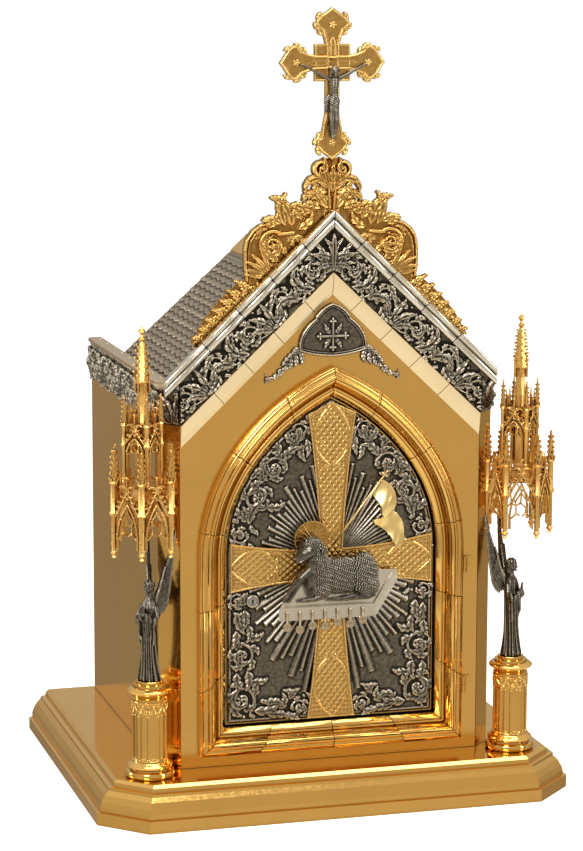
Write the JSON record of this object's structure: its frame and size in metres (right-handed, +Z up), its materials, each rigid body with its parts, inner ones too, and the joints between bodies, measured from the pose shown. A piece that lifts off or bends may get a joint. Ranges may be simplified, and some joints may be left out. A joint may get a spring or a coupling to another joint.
{
  "type": "tabernacle box",
  "caption": "House-shaped Gothic tabernacle with a hinged pointed-arch door, corner pedestals, figures and canopies, and a crest with a cross.",
  "frame": {"origin": "bottom centre of the bounding box, on the surface it stands on", "axes": "+Z up, -Y out of the door, +X to the viewer's right when facing the door"},
  "size_m": [0.568, 0.466, 0.9165],
  "materials": {
    "gold": "polished gilt brass",
    "pale_gold": "satin gilt brass",
    "silver": "oxidised silver, bright on the ridges",
    "steel": "brushed"
  },
  "bodies": {
    "root": {"base_plinth": "gold", "front_wall": "gold", "left_wall": "gold", "right_wall": "gold", "back_wall": "gold", "corner_post_left": "gold", "corner_post_right": "gold", "ridge_cap": "gold", "crest": "gold", "crest_knot": "gold", "cross": "gold", "pedestal_left": "gold", "pedestal_right": "gold", "canopy_bracket_left": "gold", "canopy_bracket_right": "gold", "hinge_socket_lower": "gold", "hinge_socket_upper": "gold", "canopy_lower_left": "gold", "canopy_upper_left": "gold", "canopy_spire_left": "gold", "canopy_lower_right": "gold", "canopy_upper_right": "gold", "canopy_spire_right": "gold", "gable_fillet": "pale_gold", "roof_panel_left": "silver", "roof_panel_right": "silver", "side_frieze_left": "silver", "side_frieze_right": "silver", "side_cornice_left": "silver", "side_cornice_right": "silver", "gable_frieze": "silver", "gable_cornice": "silver", "corpus": "silver", "medallion": "silver", "medallion_sprig_left": "silver", "medallion_sprig_right": "silver", "angel_left": "silver", "angel_right": "silver", "base_underplate": "steel", "inner_box": "steel", "inner_bearer_left": "steel", "inner_bearer_right": "steel", "strike_plate": "steel"},
    "door": {"door_frame": "gold", "door_leaf": "gold", "door_panel": "silver", "door_cross": "gold", "lamb": "silver", "halo": "gold", "book_slab": "silver", "seals": "silver", "banner": "gold", "hinge_pin_lower": "gold", "hinge_pin_upper": "gold", "lock_case": "steel"},
    "lock_plug": {"lock_plug": "steel"},
    "lock_bolt": {"lock_bolt": "steel"}
  },
  "joints": [
    {"name": "door_hinge", "type": "hinge", "parent": "root", "child": "door", "pos_m": [0.1615, -0.1573, 0.2], "axis": [0, 0, 1], "range_deg": [0, 95]},
    {"name": "lock_turn", "type": "hinge", "parent": "door", "child": "lock_plug", "pos_m": [-0.0935, -0.1535, 0.2417], "axis": [0, 1, 0], "range_deg": [0, 90]},
    {"name": "bolt_slide", "type": "slide", "parent": "door", "child": "lock_bolt", "axis": [-1, 0, 0], "range_m": [0, 0.0121]}
  ],
  "couplings": [
    {"joint": "bolt_slide", "follows": "lock_turn", "m_per_rad": 0.00763}
  ]
}
